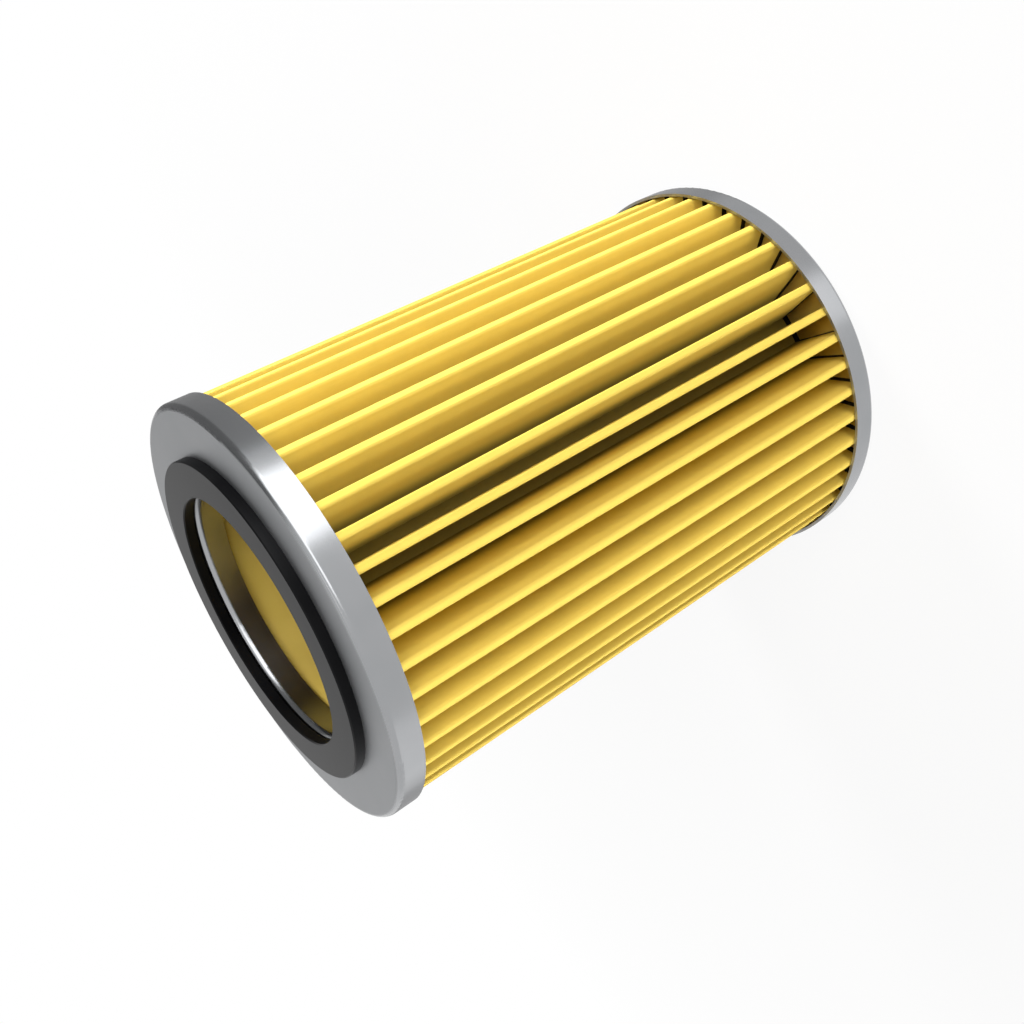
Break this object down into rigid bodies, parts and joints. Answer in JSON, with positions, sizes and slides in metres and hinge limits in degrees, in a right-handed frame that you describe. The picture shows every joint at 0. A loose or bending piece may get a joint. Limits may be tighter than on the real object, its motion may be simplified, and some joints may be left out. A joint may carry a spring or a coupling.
{
  "type": "pleated filter element",
  "caption": "Cylindrical pleated paper filter element with pressed steel end caps, a perforated centre tube and a flat rubber gasket round the open end.",
  "frame": {"origin": "centre of the closed cap's outer face, which is the face it stands on", "axes": "+Z along the element's axis, from the closed cap towards the gasketed open end; +X through a fold of the paper"},
  "size_m": [0.1, 0.1, 0.1459],
  "materials": {
    "cap_steel": "bright plated, satin",
    "gasket_rubber": "smooth matt",
    "cap_adhesive": "cast, matt",
    "end_sealant": "matt",
    "tube_lacquer": "satin lacquer",
    "filter_paper": "matt, fine fibre"
  },
  "bodies": {
    "root": {"rear_end_cap": "cap_steel", "front_end_cap": "cap_steel", "gasket": "gasket_rubber", "rear_adhesive": "cap_adhesive", "front_adhesive": "cap_adhesive", "rear_sealant": "end_sealant", "front_sealant": "end_sealant", "centre_tube": "tube_lacquer", "side_seam_glue": "cap_adhesive", "pleated_paper": "filter_paper"}
  },
  "joints": []
}
